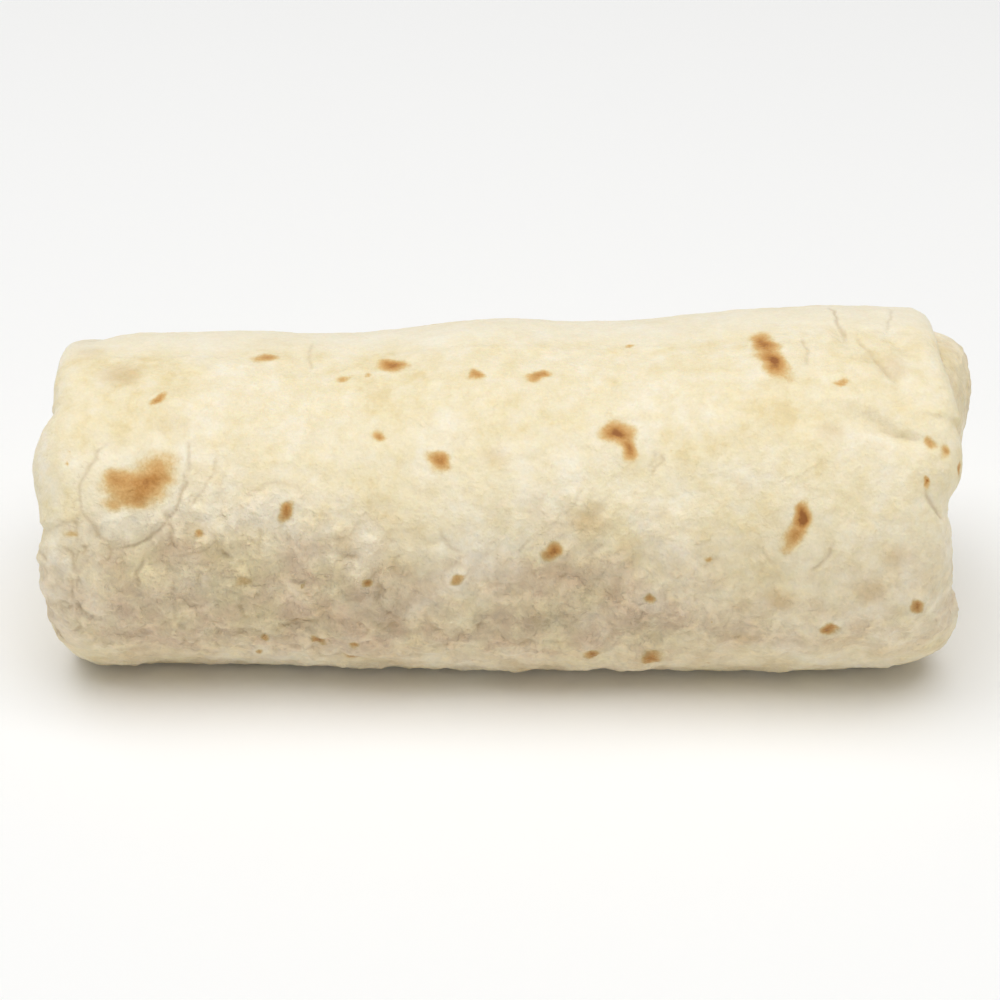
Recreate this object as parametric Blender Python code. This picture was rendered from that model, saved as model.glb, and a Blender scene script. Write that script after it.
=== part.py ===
"""A burrito: one flour tortilla rolled round its filling, with both ends folded in.

The roll lies along X with its seam down: +X is its right end, -Y its front and +Z is up.
The origin is on the surface that it rests on, under the middle of the roll.
Angles around the roll start at the crown and grow over the front (90), the
underside (180) and the back (270). Lengths are in millimetres until the mesh is made.
"""

import math

import bmesh
import bpy
import numpy as np

MM = 0.001
MERGE_GAP = 0.02 * MM
LEFT, RIGHT = -1, 1

# The rolled body.
ROLL_WIDTH = 68.0
ROLL_HEIGHT = 58.4
PRESSED_FLAT = 4.0  # how far the roll's own weight squashes its underside
PRESSED_BLEND = 2.2  # height over which the flat underside turns into the round sides
SQUARENESS = 2.15  # exponent of the cross-section: 2 is an ellipse
SHEET = 1.8  # thickness of the tortilla
MEAN_RADIUS = (ROLL_WIDTH + ROLL_HEIGHT) / 4

# Share of the full section along the roll, as (place along X, share).
PLUMPNESS = ((-90, 0.95), (-55, 0.957), (-25, 0.958), (-6, 0.99), (20, 0.985), (62, 1.037), (90, 1.02))

# Where the filling pushes the sheet out: (along X, angle round, reach along, reach round, height).
FILLING_LUMPS = (
    (-5, -28, 14, 20, 0.3),
    (-62, 20, 14, 22, 0.7),
    (-38, 62, 15, 18, 0.6),
    (4, 58, 18, 20, 0.8),
    (42, 35, 15, 22, 0.7),
    (58, 88, 12, 16, 0.8),
    (-22, 108, 15, 14, 0.7),
    (22, 122, 16, 14, 0.8),
    (-64, 132, 26, 22, -1.2),
    (76, 138, 14, 20, -0.9),
    (35, 318, 18, 20, 0.9),
    (-40, 300, 16, 20, 0.8),
    (0, 262, 15, 16, 0.7),
    (60, 250, 14, 16, 0.8),
    (-66, 244, 13, 16, 0.7),
)

# The outer flap's free edge is an arc: low under the middle, high at the back of the ends.
FLAP_TIP_ANGLE = 206.0
FLAP_END_ANGLE = 268.0
FLAP_HALF_CHORD = 72.5
FLAP_PULL = 1.8  # how quickly the columns of faces forget the arc, away from the flap
FLAP_FADE = 0.6  # share of the flap's thickness that is folded away at the rims

# The folds that gather the sheet at the ends, in order round the roll from the flap's edge:
# (angle at the left rim, at the right rim, drop at the left, at the right).
PLEATS = (
    (377, 393, 0.9, 1.1),
    (426, 424, 1.0, 1.2),
    (512, 498, 1.2, 1.3),
    (590, 572, 0.7, 0.9),
)
PLEAT_GAP = 2.0  # degrees over which a fold drops to the sheet that it lies on
PLEAT_RISE = 2.2  # how late a fold climbs before its drop: 1 is evenly
PLEAT_REACH = 9.0  # how far a fold runs on from the rim along the body
PLEAT_ON_BODY = 0.2  # share of its drop that a fold still has where it leaves the rim
PLEAT_TWIST = 30.0  # degrees that the folds turn on their way to the end's middle
PLEAT_CURL = 1.5  # above 1 they turn later on their way in
PLEAT_INNER = 0.45  # share of the end's radius within which the folds die out

# How far each folded rim reaches along X, as (angle round, reach).
RIM_REACH = {
    LEFT: ((-50, 83.0), (-28, 84.4), (4, 84.0), (20, 83.6), (35, 86.2), (50, 85.6), (66, 84.2),
           (80, 85.6), (100, 85.0), (140, 82.8), (180, 80.5), (214, 81), (232, 80), (268, 81)),
    RIGHT: ((-50, 79.6), (-28, 79.2), (-5, 78.4), (14, 78.4), (30, 79.6), (42, 80.9), (54, 80.8),
            (64, 80.0), (76, 81.8), (90, 81.4), (106, 83.0), (140, 81), (180, 79), (205, 79),
            (226, 80), (268, 80)),
}

# The rim's rounding from the body into the end, as (angle round, length along X, depth inwards).
CORNER = {
    LEFT: ((-40, 6, 3.0), (0, 6, 3.5), (50, 10, 8), (90, 9, 7), (130, 9, 7), (180, 9, 7), (268, 8, 4.5)),
    RIGHT: ((-40, 3.2, 1.2), (0, 3.2, 1.0), (22, 4, 1.2), (38, 6, 2.6), (58, 8, 5.5), (76, 9, 7),
            (100, 10, 9), (130, 13, 10), (180, 10, 7), (268, 8, 4.5)),
}

# The rim's lip and the groove between it and the tucked-in sheet, as (angle round, radius of the
# lip, depth of the groove). Where both are small the sheet runs on smoothly into the end.
LIP = {
    LEFT: ((-60, 2.2, 1.6), (0, 1.6, 1.0), (50, 0.6, 0.2), (110, 0.5, 0.1), (170, 1.6, 0.8),
           (220, 0.8, 0.3), (268, 2.0, 1.4)),
    RIGHT: ((-60, 1.4, 1.0), (-28, 0.6, 0.2), (0, 0.5, 0.1), (40, 0.5, 0.1), (75, 0.5, 0.1), (125, 0.5, 0.1),
            (175, 1.6, 0.8), (225, 0.8, 0.3), (268, 2.0, 1.4)),
}
LIP_TURN = 65.0  # degrees that the lip turns inwards before it meets the tucked-in sheet
GROOVE_LEAST = 0.3  # width of the groove where it has no depth
GROOVE_SHARE = 0.7  # how much wider it gets with each millimetre of depth
FOOT_SHARPNESS = 26  # power with which the tucked-in sheet leaves the rim's foot

# The sheet that closes each end stands this far out from the rim's mean reach, and bulges and
# sinks from there: (Y, height above the section's middle, reach, how far out).
TUCK_REST = {LEFT: -1.2, RIGHT: -0.6}
TUCK_BULGES = {
    LEFT: ((6, 10, 17, 1.8), (-14, -10, 12, 2.6), (14, -12, 11, 1.4), (2, -4, 6, -3.2)),
    RIGHT: ((10, 22, 17, 6.3), (-6, 9, 14, 2.8), (-14, -10, 12, 2.6), (12, -14, 11, 2.0), (-1, -6, 5, -3.0)),
}
BULGE_FLATNESS = 1.5  # 1 is a bell shape: above it the bulges have flatter tops and steeper sides
PUCKER = {LEFT: (2.0, -4.0), RIGHT: (-1.0, -5.0)}  # where the folds meet

# How finely the surface is cut into faces.
DEGREES_A_COLUMN = 5.3
BODY_ROWS = 22
RIM_ROWS = 4
LIP_ROWS = 2
TUCK_ROWS = 8
TUCK_ROW_SPREAD = 1.5  # above 1 the rows lie closer together near the rim

TORTILLA_COLOUR = (0.87, 0.76, 0.54, 1.0)
TORTILLA_ROUGHNESS = 0.75


def through(stations, at, period=None):
    """A smooth curve through (place, value) stations, read at each place; with a period it repeats."""
    places, values = np.array(stations, float).T
    if period:
        at = np.mod(at - places[0], period) + places[0]
        places = np.concatenate([places[-1:] - period, places, places[:2] + period])
        values = np.concatenate([values[-1:], values, values[:2]])
    slopes = np.gradient(values, places)
    before = np.clip(np.searchsorted(places, at, side="right") - 1, 0, len(places) - 2)
    gap = places[before + 1] - places[before]
    t = np.clip((at - places[before]) / gap, 0, 1)
    start, end = values[before], values[before + 1]
    lean = gap * t * (1 - t)
    return (
        start + (end - start) * t * t * (3 - 2 * t)
        + slopes[before] * lean * (1 - t)
        - slopes[before + 1] * lean * t
    )


def smooth_step(low, high, at):
    t = np.clip((at - low) / (high - low), 0, 1)
    return t * t * (3 - 2 * t)


def angle_gap(a, b):
    """The signed difference of two angles in degrees, from -180 to 180."""
    return np.mod(a - b + 180, 360) - 180


def section(x):
    """Half width, half height and centre height of the unpressed cross-section at x."""
    share = through(PLUMPNESS, x)
    half_height = (ROLL_HEIGHT + PRESSED_FLAT) / 2 * share
    return ROLL_WIDTH / 2 * share, half_height, half_height - PRESSED_FLAT


def lumps(x, angle):
    """How far the filling lifts the sheet at x and this angle."""
    lift = np.zeros_like(x + angle)
    for along, around, reach, spread, height in FILLING_LUMPS:
        away = ((x - along) / reach) ** 2 + (angle_gap(angle, around) / spread) ** 2
        lift = lift + height * np.exp(-away)
    return lift


def pressed(z):
    """Heights with everything below the surface squashed flat on to it."""
    blend = (z + PRESSED_BLEND) ** 2 / (4 * PRESSED_BLEND)
    return np.where(z > PRESSED_BLEND, z, np.where(z < -PRESSED_BLEND, 0.0, blend))


def flap_angle(x):
    """The angle at which the flap's free edge lies at x."""
    share = np.clip(np.abs(x) / FLAP_HALF_CHORD, 0, 1)
    return FLAP_TIP_ANGLE + (FLAP_END_ANGLE - FLAP_TIP_ANGLE) * share**2


def pleat_lines(side):
    """Angles and drops of one end's pleats, from the flap's edge round to the flap's edge again."""
    column = 0 if side == LEFT else 1
    angles = [FLAP_END_ANGLE] + [pleat[column] for pleat in PLEATS] + [FLAP_END_ANGLE + 360]
    drops = [0.0] + [pleat[column + 2] for pleat in PLEATS] + [0.0]
    return np.array(angles, float), np.array(drops)


def column_angles(side):
    """Angles of the columns of faces at one rim: evenly spread, with a close pair on each pleat."""
    lines, _ = pleat_lines(side)
    typical = (pleat_lines(LEFT)[0] + pleat_lines(RIGHT)[0]) / 2
    angles = []
    for index in range(len(lines) - 1):
        start = lines[index] + (PLEAT_GAP / 2 if index else 0)
        end = lines[index + 1] - (PLEAT_GAP / 2 if index < len(lines) - 2 else 0)
        count = max(2, round((typical[index + 1] - typical[index]) / DEGREES_A_COLUMN))
        angles.append(np.linspace(start, end, count + 1))
    return np.concatenate(angles)


def pleat_rise(side, angle):
    """How far a folded sheet stands above the one under it: it climbs to each fold, then drops."""
    lines, drops = pleat_lines(side)
    index = np.clip(np.searchsorted(lines, angle, side="right") - 1, 0, len(PLEATS))
    share = (angle - lines[index]) / (lines[index + 1] - lines[index])
    return drops[index + 1] * np.clip(share, 0, 1) ** PLEAT_RISE


def on_section(x, angle, lift, inset=1.0, around=(0.0, 0.0)):
    """Y and Z of a point lifted off the section at x, then drawn in towards a point by inset."""
    half_width, half_height, centre = section(x)
    radians = np.radians(angle)
    sine, cosine = np.sin(radians), np.cos(radians)
    power = 2 / SQUARENESS
    y = -(half_width + lift) * np.sign(sine) * np.abs(sine) ** power
    z = (half_height + lift) * np.sign(cosine) * np.abs(cosine) ** power
    y = around[0] + (y - around[0]) * inset
    z = around[1] + (z - around[1]) * inset
    return y, pressed(centre + z)


def around_rim(table, column, angle):
    """One column of a table of places round a rim, read at each angle."""
    return through([(row[0], row[column]) for row in table], angle, 360)


def tuck_level(side, y, height):
    """How far the tucked-in sheet stands out from the rim's mean reach."""
    level = TUCK_REST[side]
    for at_y, at_height, reach, out in TUCK_BULGES[side]:
        away = ((y - at_y) ** 2 + (height - at_height) ** 2) / reach**2
        level = level + out * np.exp(-(away**BULGE_FLATNESS))
    return level


def rim_rows(side, angle, layer, rise):
    """Rows of points from the body's last ring over the rounded rim, with the last row's inset."""
    reach = around_rim(RIM_REACH[side], 1, angle)
    length = around_rim(CORNER[side], 1, angle)
    depth = around_rim(CORNER[side], 2, angle)
    lip = around_rim(LIP[side], 1, angle)
    rows = []
    for tau in np.linspace(0, math.pi / 2, RIM_ROWS + 1):
        out, away = math.sin(tau), math.cos(tau)
        standing = layer * (1 - FLAP_FADE * out) + rise * (PLEAT_ON_BODY + (1 - PLEAT_ON_BODY) * out)
        x = side * (reach - length * (1 - out) + standing * out)
        inset = 1 - depth * (1 - away) / MEAN_RADIUS
        lift = (lumps(x, angle) + standing) * away
        rows.append((x, *on_section(x, angle, lift, inset, PUCKER[side])))
    for tau in np.linspace(0, math.radians(LIP_TURN), LIP_ROWS + 1)[1:]:
        x = side * (reach - lip * (1 - math.cos(tau)) + layer * (1 - FLAP_FADE) * math.cos(tau) + rise)
        inset = 1 - (depth + lip * math.sin(tau)) / MEAN_RADIUS
        rows.append((x, *on_section(x, angle, 0.0, inset, PUCKER[side])))
    return rows, inset


def tuck_rows(side, angle, rise, inset):
    """Rows of points from the foot of the rim across the end to the pucker where its folds meet."""
    reach = around_rim(RIM_REACH[side], 1, angle)
    lip = around_rim(LIP[side], 1, angle)
    foot = reach - lip * (1 - math.cos(math.radians(LIP_TURN))) - around_rim(LIP[side], 2, angle)
    mean_reach = float(np.mean(reach))
    middle = side * mean_reach
    edge = inset - (GROOVE_LEAST + GROOVE_SHARE * around_rim(LIP[side], 2, angle)) / MEAN_RADIUS
    rows = []
    for share in 1 - np.linspace(0, 1, TUCK_ROWS + 1)[:-1] ** TUCK_ROW_SPREAD:
        turned = angle + PLEAT_TWIST * (1 - share) ** PLEAT_CURL
        y, z = on_section(middle, turned, 0.0, edge * share, PUCKER[side])
        level = mean_reach + tuck_level(side, y, z - section(middle)[2])
        near_rim = share**FOOT_SHARPNESS
        x = level * (1 - near_rim) + foot * near_rim + rise * smooth_step(0, PLEAT_INNER, share)
        rows.append((side * x, y, z))
    return rows


def end_rows(side, angle, turn):
    """Rows of points from the body's last ring over the rim and across the end to its pucker."""
    rise = pleat_rise(side, angle)
    rim, inset = rim_rows(side, angle, SHEET * (1 - turn), rise)
    return rim + tuck_rows(side, angle, rise, inset)


def body_rows(first, last, turn):
    """Rows of points between the two rims. Each starts on the flap's free edge."""
    at_left, at_right = column_angles(LEFT), column_angles(RIGHT)
    near_flap = np.abs(2 * turn - 1) ** FLAP_PULL
    rows = []
    for share in np.linspace(0, 1, BODY_ROWS + 2)[1:-1]:
        x = first + (last - first) * share
        blend = smooth_step(0, 1, share)
        angle = at_left + (at_right - at_left) * blend
        angle = angle + (flap_angle(x) - FLAP_END_ANGLE) * near_flap
        rise = 0.0
        for side, rim, rim_angle in ((LEFT, first, at_left), (RIGHT, last, at_right)):
            fade = 1 - smooth_step(0, PLEAT_REACH, np.abs(x - rim))
            rise = rise + PLEAT_ON_BODY * pleat_rise(side, rim_angle) * fade
        lift = lumps(x, angle) + SHEET * (1 - turn) + rise
        rows.append((x, *on_section(x, angle, lift)))
    return rows


def surface_rows():
    """All rows of points, from the left end's innermost ring to the right end's. A row starts at
    the flap's free edge and goes round once, to the sheet that lies under that edge."""
    turn = (column_angles(LEFT) - FLAP_END_ANGLE) / 360
    left_end = end_rows(LEFT, column_angles(LEFT), turn)
    right_end = end_rows(RIGHT, column_angles(RIGHT), turn)
    return left_end[::-1] + body_rows(left_end[0][0], right_end[0][0], turn) + right_end


def make_tortilla():
    """The roll's whole surface as one closed mesh, with its middle over the origin."""
    mesh = bmesh.new()
    points = np.array([np.stack(np.broadcast_arrays(*row), axis=-1) for row in surface_rows()])
    middle = (points.min(axis=(0, 1)) + points.max(axis=(0, 1))) / 2
    points = (points - (middle[0], middle[1], 0)) * MM
    rows = [[mesh.verts.new(point) for point in row] for row in points]
    for lower, upper in zip(rows, rows[1:]):
        for column in range(len(lower)):
            after = (column + 1) % len(lower)
            mesh.faces.new((lower[column], lower[after], upper[after], upper[column]))
    for ring in (rows[0], rows[-1]):
        centre = mesh.verts.new(sum((vertex.co for vertex in ring), ring[0].co * 0) / len(ring))
        for column, vertex in enumerate(ring):
            mesh.faces.new((centre, vertex, ring[(column + 1) % len(ring)]))
    bmesh.ops.remove_doubles(mesh, verts=mesh.verts, dist=MERGE_GAP)
    bmesh.ops.triangulate(mesh, faces=mesh.faces)
    bmesh.ops.recalc_face_normals(mesh, faces=mesh.faces)
    data = bpy.data.meshes.new("tortilla")
    mesh.to_mesh(data)
    mesh.free()
    data.shade_smooth()
    tortilla = bpy.data.objects.new("tortilla", data)
    bpy.context.scene.collection.objects.link(tortilla)
    return tortilla


def flour_tortilla_material():
    material = bpy.data.materials.new("flour_tortilla")
    material.use_nodes = True
    shader = material.node_tree.nodes["Principled BSDF"]
    shader.inputs["Base Color"].default_value = TORTILLA_COLOUR
    shader.inputs["Roughness"].default_value = TORTILLA_ROUGHNESS
    shader.inputs["Metallic"].default_value = 0.0
    return material


def main():
    for leftover in list(bpy.data.objects):
        bpy.data.objects.remove(leftover)
    make_tortilla().data.materials.append(flour_tortilla_material())


main()
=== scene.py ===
"""The looks of a burrito: a griddled flour tortilla rolled round its filling, on a white table.

The skin is made anew at a fine pitch: a wrap that runs from rim to rim, with the free edge of
its outer flap, and a tucked-in sheet behind each rim. Python shapes the roll, its folds, its
blisters and its creases, a Geometry Nodes tree adds the uneven filling and the dough's own
grain, and one node material toasts it. Lengths are in millimetres until a mesh is made, and
angles are in degrees round the roll: 0 at the crown, 90 in front, 180 underneath, 270 behind.
"""

import math

import bmesh
import bpy
import numpy as np
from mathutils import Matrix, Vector


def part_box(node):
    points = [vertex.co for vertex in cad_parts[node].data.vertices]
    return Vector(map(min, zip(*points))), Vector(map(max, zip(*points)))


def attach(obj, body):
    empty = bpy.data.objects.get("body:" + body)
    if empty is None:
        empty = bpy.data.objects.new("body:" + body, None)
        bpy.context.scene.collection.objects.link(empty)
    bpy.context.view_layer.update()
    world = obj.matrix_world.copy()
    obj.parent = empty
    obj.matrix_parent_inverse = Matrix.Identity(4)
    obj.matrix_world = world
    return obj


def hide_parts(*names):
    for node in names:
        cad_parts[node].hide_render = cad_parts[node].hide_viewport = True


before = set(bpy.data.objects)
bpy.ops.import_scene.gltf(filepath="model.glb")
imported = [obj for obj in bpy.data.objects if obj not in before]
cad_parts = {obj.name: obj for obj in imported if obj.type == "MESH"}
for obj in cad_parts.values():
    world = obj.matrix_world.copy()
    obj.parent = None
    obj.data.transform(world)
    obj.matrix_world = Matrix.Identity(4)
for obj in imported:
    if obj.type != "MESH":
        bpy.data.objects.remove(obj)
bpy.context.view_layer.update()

MM = 0.001
MERGE_GAP = 0.004 * MM  # points nearer than this are one
FAR = 1e3  # further away than any mark
TURN = 6.3  # radians, about once round
LEFT, RIGHT = -1, 1
SIDES = {LEFT: "left", RIGHT: "right"}

# ---- The roll, in the solid's own sizes ----

ROLL_WIDTH = 68
ROLL_HEIGHT = 58.4
PRESSED_FLAT, PRESSED_BLEND = 4, 2.2  # how much of its underside its weight presses flat
SQUARENESS = 2.15  # of the cross-section, 2 being an oval
SHEET = 1.8  # thickness
MEAN_RADIUS = (ROLL_WIDTH + ROLL_HEIGHT) / 4
MM_A_DEGREE = 0.6  # along the skin

# How plump the roll is along X.
PLUMPNESS = ((-90, 0.95), (-55, 0.957), (-25, 0.958), (-6, 0.99), (20, 0.985), (62, 1.037), (90, 1.02))
# Where the filling lifts the sheet: (along X, angle, reach along X, reach in degrees, height).
FILLING_LUMPS = (
    (-5, -28, 14, 20, 0.3), (-62, 20, 14, 22, 0.7), (-38, 62, 15, 18, 0.6), (4, 58, 18, 20, 0.8),
    (42, 35, 15, 22, 0.7), (58, 88, 12, 16, 0.8), (-22, 108, 15, 14, 0.7), (22, 122, 16, 14, 0.8),
    (-64, 132, 26, 22, -1.2), (76, 138, 14, 20, -0.9), (35, 318, 18, 20, 0.9), (-40, 300, 16, 20, 0.8),
    (0, 262, 15, 16, 0.7), (60, 250, 14, 16, 0.8), (-66, 244, 13, 16, 0.7),
)

FLAP_TIP_ANGLE = 206
FLAP_END_ANGLE = 268
FLAP_HALF_CHORD = 72.5
FLAP_PULL = 1.8  # how late the columns come to follow the flap's edge
FLAP_FADE = 0.6  # share of its thickness that the sheet loses over a rim

PLEATS = {  # each rim's, as (angle, drop)
    LEFT: ((377, 0.9), (426, 1), (512, 1.2), (590, 0.7)),
    RIGHT: ((393, 1.1), (424, 0.4), (498, 1.3), (572, 0.9)),
}
PLEAT_GAP = 2.4  # degrees over which a pleat drops
PLEAT_RISE = 2.2  # how late it climbs from the one before
PLEAT_REACH = 9  # how far it runs from the rim on to the roll
PLEAT_ON_BODY = 0.2  # share of its drop there
PLEAT_TWIST, PLEAT_CURL = 30, 1.5  # degrees that the tucked-in folds turn, and how late
PLEAT_INNER = 0.45  # share of the way out from the pucker at which they stand in full

# Each rim: (angle, how far it reaches along X).
RIM_REACH = {
    LEFT: ((-50, 82.6), (-28, 83.6), (4, 82.9), (19, 82.8), (28, 85), (38, 86.2), (50, 85.6),
           (66, 84.2), (80, 85.6), (100, 85), (140, 82.8), (180, 80.5), (214, 81), (232, 80), (268, 81)),
    RIGHT: ((-50, 79.6), (-28, 79.2), (-5, 78.4), (14, 78.4), (30, 79.6), (42, 80.9), (54, 80.2),
            (63, 78.3), (70, 79.3), (78, 79.8), (92, 80.2), (102, 80.9), (116, 82.4), (142, 81),
            (180, 79), (205, 79), (226, 80), (268, 80)),
}
# The rim's corner: (angle, length along X over which it rounds off, depth towards the middle).
CORNER = {
    LEFT: ((-40, 4, 2), (0, 4, 2.2), (50, 10, 8), (90, 9, 7), (130, 9, 7), (180, 9, 7), (268, 8, 4.5)),
    RIGHT: ((-40, 3.2, 1.2), (0, 3.2, 1), (22, 4, 1.2), (38, 6, 2.6), (58, 8, 5.5), (76, 9, 7),
            (100, 10, 9), (130, 13, 10), (180, 10, 7), (268, 8, 4.5)),
}
# The lip inside the rim: (angle, radius, depth of the groove behind it).
LIP = {
    LEFT: ((-60, 2.2, 1.6), (0, 1.6, 1), (50, 0.6, 0.2), (110, 0.5, 0.1), (170, 1.6, 0.8),
           (220, 0.8, 0.3), (268, 2, 1.4)),
    RIGHT: ((-60, 1.4, 1), (-28, 0.6, 0.2), (0, 0.5, 0.1), (40, 0.5, 0.1), (75, 0.5, 0.1),
            (125, 0.5, 0.1), (175, 1.6, 0.8), (225, 0.8, 0.3), (268, 2, 1.4)),
}
LIP_FOOT, LIP_CURL = 65, 140  # degrees of its turn to the tucked-in sheet, and in all
LIP_LAYER = 0.15  # least share of the flap's thickness left along it
LIP_LAP = 0.3  # share of its radius at which the tucked-in sheet starts, under it
GROOVE_LEAST, GROOVE_SHARE = 0.3, 0.7  # the gap behind it, and how that grows with the groove

# How far each tucked-in sheet stands out from the rim's mean reach, and its bulges: (Y, height over
# the roll's middle, reach, how far out).
TUCK_REST = {LEFT: -1.2, RIGHT: -0.6}
TUCK_BULGES = {
    LEFT: ((6, 10, 17, 1.8), (-14, -10, 12, 2.6), (14, -12, 11, 1.4), (2, -4, 6, -3.2)),
    RIGHT: ((10, 22, 16, 6.5), (-6, 9, 14, 1.8), (-14, -10, 12, 2.6), (12, -14, 11, 2), (-1, -6, 5, -3),
            (-29, 5, 9, -2.6)),
}
BULGE_FLATNESS, FOOT_SHARPNESS = 1.5, 26  # of the bulges, and of the bend along the lip
PUCKER = {LEFT: (2, -4), RIGHT: (-1, -5)}

# ---- How finely the skin is cut ----

FRONT_ANGLES = (326, 502)  # the stretch round the roll that gets the closer columns
FRONT_BLEND, PITCH_STEP = 8, 0.01  # degrees over which their pitch changes, and its steps
FRONT_PITCH, BACK_PITCH, EDGE_CLEAR = 0.86, 2, 0.5  # degrees
BODY_ROWS, RIM_ROWS, LIP_ROWS, TUCK_ROWS = 262, 18, 8, 90
TUCK_PACE, TUCK_CENTRE = 1.15, 0.995  # how its rows close up to the pucker, and how near they come
HELD_LIP = (LIP_ROWS * 0.55, LIP_ROWS + 4)  # rows from a lip's end over which it is freed
HIDDEN_DEPTH = 9  # how far the sheets run on, out of sight
TUCK_EDGE_ROW, HELD_TUCK = 3, (0.9, 0.985)  # its row along the lip, and where it comes to be held
FLAP_PROFILE = (  # the flap's free edge, as (way in from the edge, share of the sheet's thickness)
    (2.4, 0), (1.3, 0.03), (0.5, 0.1), (0.12, 0.3), (0, 0.55), (0.12, 0.8), (0.5, 0.95), (1.1, 1),
)
UNDER_FLAP = (1.2, 2.4)  # how far the covered sheet runs on beneath the flap
FLAP_STEP, FLAP_STEP_REACH = 0.9, 3  # how far it draws in at the flap's edge, and over what

# ---- What the griddle and the rolling left on the skin ----
# Toasted patches: (along X, angle, half length, half width, tilt from X, heat). Heat 1 is brown.
TOAST = (
    (-63.2, 51, 5.2, 3.5, 58, 0.71), (-65, 56, 4, 2.4, 20, 0.56), (-69.6, 51.5, 3, 2.7, 0, 0.58),
    (-67.6, 55, 3.2, 2.7, 0, 0.5), (-66.6, 51.5, 3, 2.3, 0, 0.5), (-70.4, 59, 2.8, 1.8, 10, 0.42),
    (-62.6, 22, 1.5, 1, 45, 0.8),
    (-44.8, 1, 2.3, 1.2, 10, 0.75), (-30.3, 11, 1.9, 0.9, 30, 0.6), (-25.9, 9, 0.7, 0.6, 0, 0.6),
    (-21, 6, 2.4, 1.8, -20, 0.95), (-5.9, 13.5, 1.2, 1.2, 0, 0.8), (5.9, 14.5, 2.2, 1.1, 25, 0.85),
    (-23, 35.5, 1.5, 1.1, -30, 0.85), (-12, 46.5, 2.1, 1.5, -35, 0.92), (19.4, 37, 2.6, 2.4, 5, 1),
    (22, 43, 2.4, 1.3, -65, 0.9), (48, 3.5, 3.3, 2, -70, 0.9), (49.2, 13.5, 4, 2.2, -72, 1.05),
    (60.4, 22.5, 1.2, 0.9, 10, 0.7), (52.2, 67, 2.5, 1.2, 75, 1.08), (50.9, 73, 2.7, 1.8, 65, 0.75),
    (-39.3, 61.5, 1.8, 1.3, 75, 0.95), (-55.5, 70, 1.1, 0.7, 20, 0.65), (-78, 69, 1.5, 1.1, 0, 0.42),
    (-79.3, 41, 0.5, 0.5, 0, 0.6), (-78.2, 44.7, 0.6, 0.6, 0, 0.6), (7.8, 76.5, 1.5, 1.3, 40, 0.98),
    (-9, 85.5, 1.7, 0.6, 25, 0.62), (-25.6, 86, 1.1, 0.9, 0, 0.85), (-37.2, 87.8, 0.5, 0.5, 0, 0.6),
    (-47.8, 86, 2.2, 1, 10, 0.36), (-43.8, 109, 0.7, 0.9, 0, 0.6), (-34.5, 110, 0.9, 1.9, 0, 0.8),
    (-28, 111, 1.1, 1.1, 0, 0.75), (-29.1, 122, 1.5, 1.3, -50, 0.75), (-46, 120.5, 0.7, 0.9, 0, 0.6),
    (15.1, 115.5, 1.4, 0.9, 5, 0.9), (26.8, 120, 2, 2.4, 5, 0.85), (25.9, 92, 0.8, 0.8, 0, 0.8),
    (36, 79.5, 0.8, 0.7, 0, 0.55), (58, 102.5, 1.3, 1.2, 0, 0.92), (73.6, 95, 1, 1.1, 0, 0.86),
    (75.8, 43.5, 1.1, 1.5, 0, 0.6), (77.8, 46, 1.1, 1.4, 0, 0.62), (80.5, 50, 0.5, 1.2, -10, 0.8),
    (73.9, 56.5, 1.2, 0.6, -60, 1), (77.8, 112, 0.5, 0.5, 0, 0.9), (22.8, -1, 0.8, 0.5, 0, 0.7),
    (-5.9, 124, 0.4, 0.4, 0, 0.6), (37.3, 127, 0.5, 0.4, 0, 0.7), (37.2, 100, 0.3, 0.3, 0, 0.6),
    (29, 44, 0.4, 0.4, 0, 0.5), (-27.3, 54, 0.3, 0.3, 0, 0.5), (-22.5, 58, 0.4, 0.4, 0, 0.45),
    (-66, -28, 2.6, 0.8, 0, 0.7), (-14.6, -29, 1.6, 0.8, 0, 0.7), (-50.9, 26, 0.3, 0.3, 0, 0.5),
)
# Blisters: domes of drier, paler dough: (along X, angle, half length, half width, height, paleness).
BLISTERS = (
    (-66.2, 55.5, 10, 10.6, 0.9, 0.9), (-40.9, 61, 5.2, 5.4, 0.4, 0.6), (20, 38.5, 6.6, 6.4, 0.45, 0.5),
    (49.5, 10, 6, 8.2, 0.4, 0.45), (51.5, 70, 6.6, 8.4, 0.5, 0.5), (-9, 85.5, 2.4, 2.4, 0.3, 0.9),
    (-43.8, 109, 1.4, 1.4, 0.15, 0.8), (3.8, 58.5, 2.6, 3.2, 0.15, 0.3), (25.9, 92, 2.9, 2.8, 0.2, 0.5),
    (58, 102.5, 3.4, 3.4, 0.25, 0.5), (73.6, 95, 2.6, 2.8, 0.25, 0.4), (15.1, 115.5, 2.4, 1.6, 0.15, 0.5),
    (7.8, 76.5, 3.2, 3, 0.2, 0.35), (-20.5, 6, 5.2, 4.2, 0.3, 0.35), (-62, 22, 4.4, 4, 0.25, 0.3),
)
# Arcs of folded skin at the edges of blisters: (along X, angle, half length, half width, from, to,
# depth, width). Their places run anticlockwise from +X, in degrees.
ARC_CREASES = (
    (-40.9, 61, 5.2, 5.4, 20, 150, 0.12, 0.6),
    (49.5, 10, 6.2, 8.6, -28, 40, 0.2, 0.45), (51.5, 70, 6.8, 8.8, -75, -18, 0.24, 0.5),
    (51.5, 70, 6.8, 8.8, 195, 235, 0.2, 0.45), (-9, 85.5, 2.5, 2.5, 0, 360, 0.12, 0.5),
    (-43.8, 109, 1.3, 1.3, 0, 360, 0.1, 0.3), (3.8, 58.5, 2.6, 3.2, 200, 420, 0.1, 0.4),
    (20, 38.5, 7.6, 8, -52, -22, 0.16, 0.5),
)
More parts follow.
